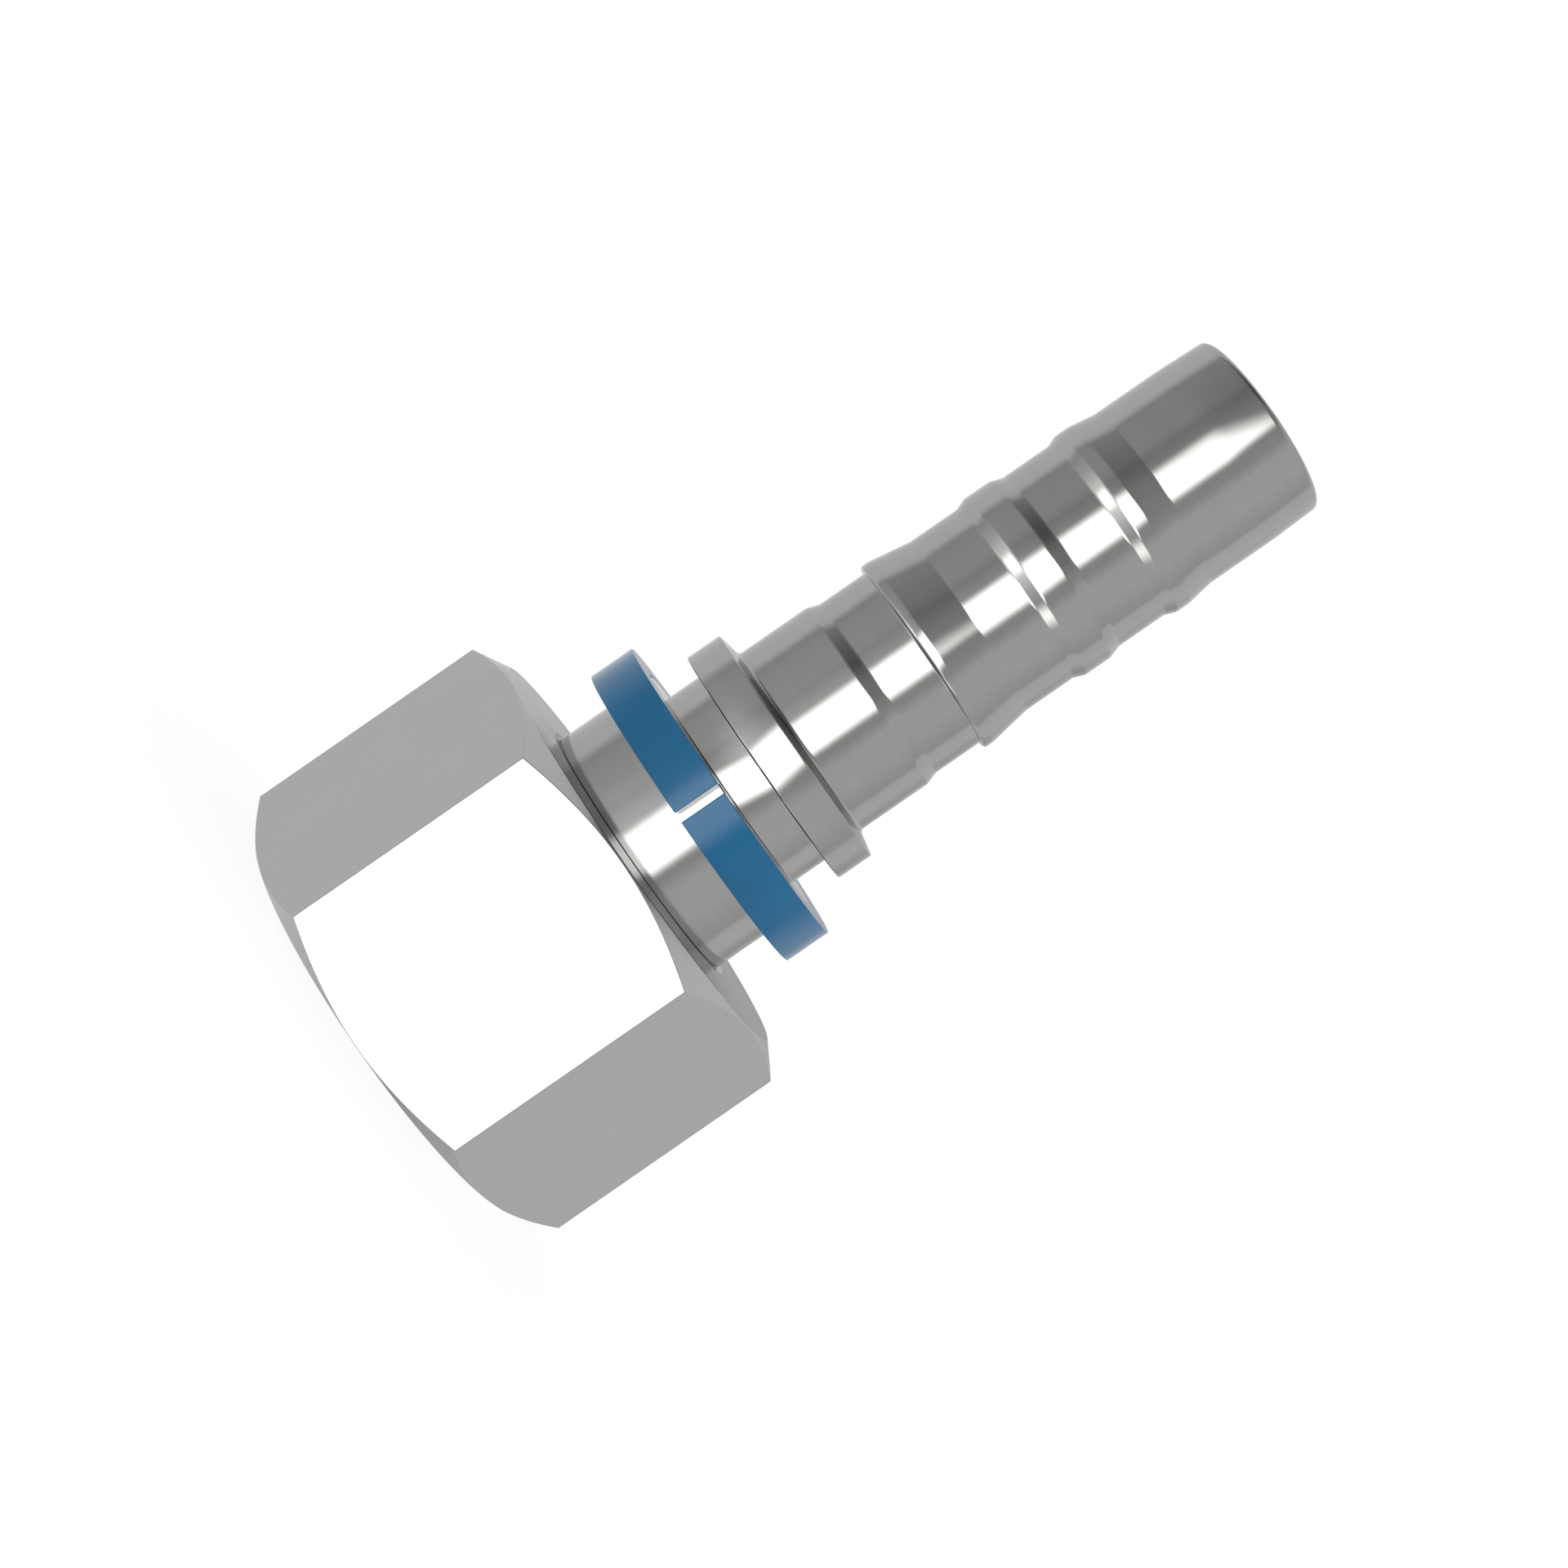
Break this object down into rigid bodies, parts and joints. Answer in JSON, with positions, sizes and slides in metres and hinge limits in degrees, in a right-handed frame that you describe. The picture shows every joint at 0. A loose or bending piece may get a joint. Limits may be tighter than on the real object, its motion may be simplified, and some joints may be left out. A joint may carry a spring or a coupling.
{
  "type": "hose nipple",
  "caption": "Turned metal hose nipple with a barbed crimp tail, a hexagon swivel nut on its head and a plastic clip ring on its neck.",
  "frame": {"origin": "centre of the nut's front face, on which the part stands", "axes": "+Z along the common axis, from the nut's mouth to the hose end; flats of the hexagon face along Y; the ring's gap faces -Y"},
  "size_m": [0.0346, 0.03, 0.0696],
  "materials": {
    "turned_steel": "turned stainless steel, fine lathe lines",
    "nut_steel": "satin stainless steel hexagon bar",
    "ring_plastic": "moulded blue plastic, soft gloss"
  },
  "bodies": {
    "body": {"nipple": "turned_steel", "split_ring": "ring_plastic"},
    "nut": {"swivel_nut": "nut_steel"}
  },
  "joints": [
    {"name": "nut_swivel", "type": "hinge", "parent": "body", "child": "nut", "pos_m": [0, 0, 0.0099], "axis": [0, 0, 1], "continuous": true}
  ]
}
